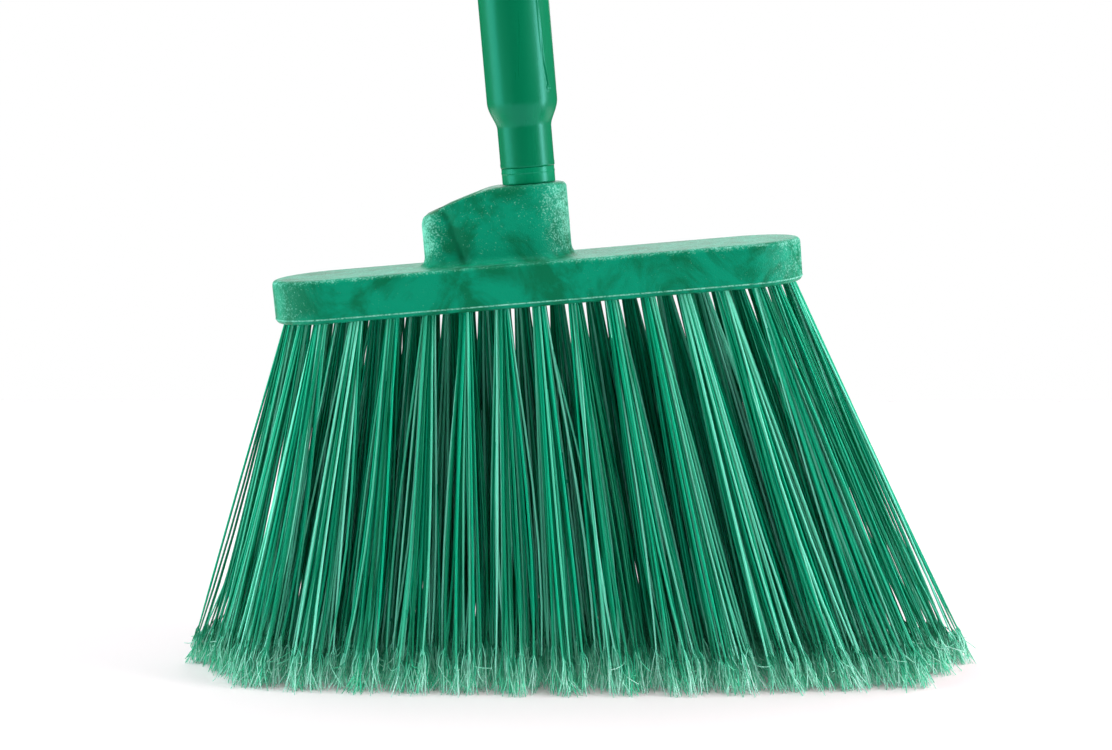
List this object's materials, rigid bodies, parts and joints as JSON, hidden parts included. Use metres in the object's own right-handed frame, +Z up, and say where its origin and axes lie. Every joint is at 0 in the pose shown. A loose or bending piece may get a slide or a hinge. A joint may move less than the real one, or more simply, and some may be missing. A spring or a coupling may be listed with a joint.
{
  "type": "angle broom",
  "caption": "Angle broom: moulded block with fanned, flagged bristle tufts trimmed at a slant, straight and angled threaded sockets, and a screw-in sleeved steel handle.",
  "frame": {"origin": "where the handle's axis meets the trimmed bristle ends, on the floor plane", "axes": "+Z up from the floor, +X along the block towards its higher end, -Y towards the front; the handle leans 4.8 degrees towards -X"},
  "size_m": [0.2958, 0.0647, 1.3821],
  "materials": {
    "block": "foam-moulded polypropylene, scuffed",
    "bristle": "extruded filament, flagged ends",
    "tube": "plain steel",
    "sleeve": "smooth, glossy",
    "tip": "moulded, satin",
    "cap": "moulded, satin"
  },
  "bodies": {
    "head": {"broom_block": "block", "tuft_row1_01": "bristle", "tuft_row1_02": "bristle", "tuft_row1_03": "bristle", "tuft_row1_04": "bristle", "tuft_row1_05": "bristle", "tuft_row1_06": "bristle", "tuft_row1_07": "bristle", "tuft_row1_08": "bristle", "tuft_row1_09": "bristle", "tuft_row1_10": "bristle", "tuft_row1_11": "bristle", "tuft_row1_12": "bristle", "tuft_row1_13": "bristle", "tuft_row2_01": "bristle", "tuft_row2_02": "bristle", "tuft_row2_03": "bristle", "tuft_row2_04": "bristle", "tuft_row2_05": "bristle", "tuft_row2_06": "bristle", "tuft_row2_07": "bristle", "tuft_row2_08": "bristle", "tuft_row2_09": "bristle", "tuft_row2_10": "bristle", "tuft_row2_11": "bristle", "tuft_row2_12": "bristle", "tuft_row2_13": "bristle", "tuft_row2_14": "bristle", "tuft_row3_01": "bristle", "tuft_row3_02": "bristle", "tuft_row3_03": "bristle", "tuft_row3_04": "bristle", "tuft_row3_05": "bristle", "tuft_row3_06": "bristle", "tuft_row3_07": "bristle", "tuft_row3_08": "bristle", "tuft_row3_09": "bristle", "tuft_row3_10": "bristle", "tuft_row3_11": "bristle", "tuft_row3_12": "bristle", "tuft_row3_13": "bristle", "tuft_row3_14": "bristle", "tuft_row3_15": "bristle", "tuft_row4_01": "bristle", "tuft_row4_02": "bristle", "tuft_row4_03": "bristle", "tuft_row4_04": "bristle", "tuft_row4_05": "bristle", "tuft_row4_06": "bristle", "tuft_row4_07": "bristle", "tuft_row4_08": "bristle", "tuft_row4_09": "bristle", "tuft_row4_10": "bristle", "tuft_row4_11": "bristle", "tuft_row4_12": "bristle"},
    "tip": {"threaded_tip": "tip"},
    "handle": {"handle_tube": "tube", "handle_sleeve": "sleeve", "hang_cap": "cap"}
  },
  "joints": [
    {"name": "handle_rise", "type": "slide", "parent": "head", "child": "tip", "axis": [-0.0837, 0, 0.9965], "range_m": [0, 0.02032]},
    {"name": "handle_unscrew", "type": "hinge", "parent": "tip", "child": "handle", "pos_m": [-0.01559, 0, 0.18565], "axis": [-0.0837, 0, 0.9965], "range_deg": [0, 1441]}
  ],
  "couplings": [
    {"joint": "handle_unscrew", "follows": "handle_rise", "rad_per_m": 1236.8}
  ]
}
